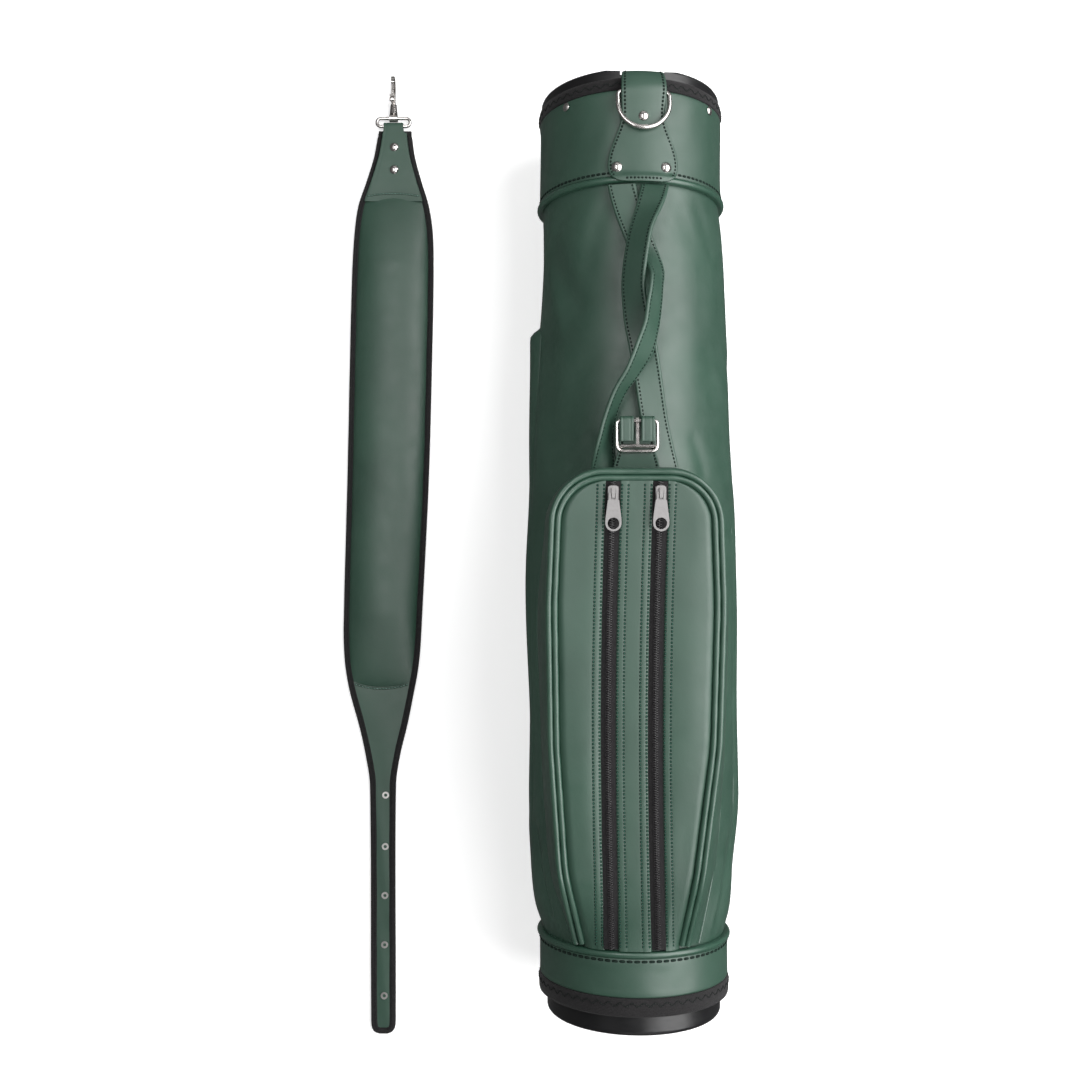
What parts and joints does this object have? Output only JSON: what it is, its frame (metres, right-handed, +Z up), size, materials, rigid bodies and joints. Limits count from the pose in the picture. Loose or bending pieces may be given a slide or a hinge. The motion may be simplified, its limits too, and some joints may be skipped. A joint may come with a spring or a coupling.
{
  "type": "golf staff bag",
  "caption": "Round golf club bag with a tall front pocket, twisted carry handle and unclipped padded shoulder strap; carries clubs.",
  "frame": {"origin": "on the surface that the bag lies on, under the middle of the box round the bag and its strap", "axes": "+Y up the bag from base to mouth, +Z up out of the surface and out of the front pocket, +X to the right seen from above with the mouth at the top"},
  "size_m": [0.4154, 1.0498, 0.2399],
  "materials": {
    "green_leather": "smooth satin green leather",
    "black_plastic": "satin moulded",
    "black_webbing": "woven binding tape",
    "lining_fabric": "brushed lining",
    "foam": "open foam",
    "rod_steel": "drawn rod",
    "bright_metal": "polished nickel",
    "zip_tape": "woven tape",
    "zip_coil": "moulded coil",
    "strap_backing": "knitted backing"
  },
  "bodies": {
    "bag": {"base_band": "green_leather", "base_band_welt": "green_leather", "base_binding": "black_webbing", "base_cup": "black_plastic", "base_pad": "foam", "body_shell": "green_leather", "buckle_chape": "green_leather", "cuff_binding": "black_webbing", "cuff_core": "black_plastic", "cuff_rivets": "bright_metal", "cuff_shell": "green_leather", "cuff_welt": "green_leather", "divider_bars": "lining_fabric", "handle_strap_a": "green_leather", "handle_strap_b": "green_leather", "liner": "lining_fabric", "pocket_gusset": "green_leather", "pocket_panel_centre": "green_leather", "pocket_panel_left": "green_leather", "pocket_panel_right": "green_leather", "pocket_piping_inner": "green_leather", "pocket_piping_outer": "green_leather", "ring_tab": "green_leather", "side_pocket_left": "green_leather", "side_pocket_right": "green_leather", "stay_rods": "rod_steel", "tab_rivets": "bright_metal", "top_rim": "black_plastic", "zip_left_coil": "zip_coil", "zip_left_tape": "zip_tape", "zip_right_coil": "zip_coil", "zip_right_tape": "zip_tape", "zip_side_left_coil": "zip_coil", "zip_side_left_tape": "zip_tape", "zip_side_right_coil": "zip_coil", "zip_side_right_tape": "zip_tape"},
    "d_ring": {"d_ring": "bright_metal"},
    "buckle_frame": {"buckle_frame": "bright_metal"},
    "buckle_roller": {"buckle_roller": "bright_metal"},
    "buckle_prong": {"buckle_prong": "bright_metal"},
    "shoulder_strap": {"strap_binding": "black_webbing", "strap_backing": "strap_backing", "strap_pad_core": "foam", "strap_pad_face": "green_leather", "strap_tail": "green_leather", "strap_top_end": "green_leather", "strap_rivets": "bright_metal", "strap_eyelets": "bright_metal"},
    "strap_loop": {"strap_loop": "bright_metal"},
    "hook_swivel": {"hook_swivel": "bright_metal"},
    "hook_body": {"hook_body": "bright_metal"},
    "hook_gate": {"hook_gate": "bright_metal"},
    "slider_left": {"zip_left_slider": "bright_metal"},
    "pull_left": {"zip_left_pull": "bright_metal"},
    "slider_right": {"zip_right_slider": "bright_metal"},
    "pull_right": {"zip_right_pull": "bright_metal"},
    "slider_side_left": {"zip_side_left_slider": "bright_metal"},
    "pull_side_left": {"zip_side_left_pull": "bright_metal"},
    "slider_side_right": {"zip_side_right_slider": "bright_metal"},
    "pull_side_right": {"zip_side_right_pull": "bright_metal"}
  },
  "joints": [
    {"name": "ring_swing", "type": "hinge", "parent": "bag", "child": "d_ring", "pos_m": [0.10776, 0.42765, 0.19091], "axis": [-0.998, 0, 0.0628], "range_deg": [0, 150]},
    {"name": "buckle_swing", "type": "hinge", "parent": "bag", "child": "buckle_frame", "pos_m": [0.0989, 0.10665, 0.2075], "axis": [-1, 0, 0], "range_deg": [0, 105]},
    {"name": "roller_turn", "type": "hinge", "parent": "buckle_frame", "child": "buckle_roller", "pos_m": [0.0989, 0.08315, 0.2075], "axis": [1, 0, 0], "continuous": true},
    {"name": "prong_swing", "type": "hinge", "parent": "buckle_frame", "child": "buckle_prong", "pos_m": [0.0989, 0.10665, 0.2075], "axis": [-1, 0, 0], "range_deg": [0, 65]},
    {"name": "zip_left", "type": "slide", "parent": "bag", "child": "slider_left", "axis": [0, -0.9959, -0.0903], "range_m": [0, 0.4]},
    {"name": "pull_left_flip", "type": "hinge", "parent": "slider_left", "child": "pull_left", "pos_m": [0.0747, 0.03612, 0.2375], "axis": [-1, 0, 0], "range_deg": [0, 160]},
    {"name": "zip_right", "type": "slide", "parent": "bag", "child": "slider_right", "axis": [0, -0.9959, -0.0903], "range_m": [0, 0.4]},
    {"name": "pull_right_flip", "type": "hinge", "parent": "slider_right", "child": "pull_right", "pos_m": [0.1179, 0.03612, 0.2375], "axis": [-1, 0, 0], "range_deg": [0, 160]},
    {"name": "zip_side_left", "type": "slide", "parent": "bag", "child": "slider_side_left", "axis": [0, -1, 0], "range_m": [0, 0.43]},
    {"name": "pull_side_left_flip", "type": "hinge", "parent": "slider_side_left", "child": "pull_side_left", "pos_m": [0.00502, 0.17615, 0.04309], "axis": [0.4695, 0, -0.8829], "range_deg": [0, 160]},
    {"name": "zip_side_right", "type": "slide", "parent": "bag", "child": "slider_side_right", "axis": [0, -1, 0], "range_m": [0, 0.28]},
    {"name": "pull_side_right_flip", "type": "hinge", "parent": "slider_side_right", "child": "pull_side_right", "pos_m": [0.20015, 0.02615, 0.04215], "axis": [0.4695, 0, 0.8829], "range_deg": [0, 160]},
    {"name": "strap_lift", "type": "slide", "parent": "bag", "child": "shoulder_strap", "axis": [0, 0, 1], "range_m": [0, 0.25]},
    {"name": "loop_swing", "type": "hinge", "parent": "shoulder_strap", "child": "strap_loop", "pos_m": [-0.1558, 0.47065, 0.0046], "axis": [1, 0, 0], "range_deg": [0, 75]},
    {"name": "swivel_swing", "type": "hinge", "parent": "strap_loop", "child": "hook_swivel", "pos_m": [-0.1558, 0.47965, 0.0046], "axis": [1, 0, 0], "range_deg": [0, 60]},
    {"name": "hook_spin", "type": "hinge", "parent": "hook_swivel", "child": "hook_body", "pos_m": [-0.1558, 0.49065, 0.0046], "axis": [0, 1, 0], "continuous": true},
    {"name": "gate_open", "type": "hinge", "parent": "hook_body", "child": "hook_gate", "pos_m": [-0.1558, 0.49745, 0.0146], "axis": [-1, 0, 0], "range_deg": [0, 22], "stiffness_Nm_per_rad": 0.02, "springref_deg": -20.05}
  ]
}
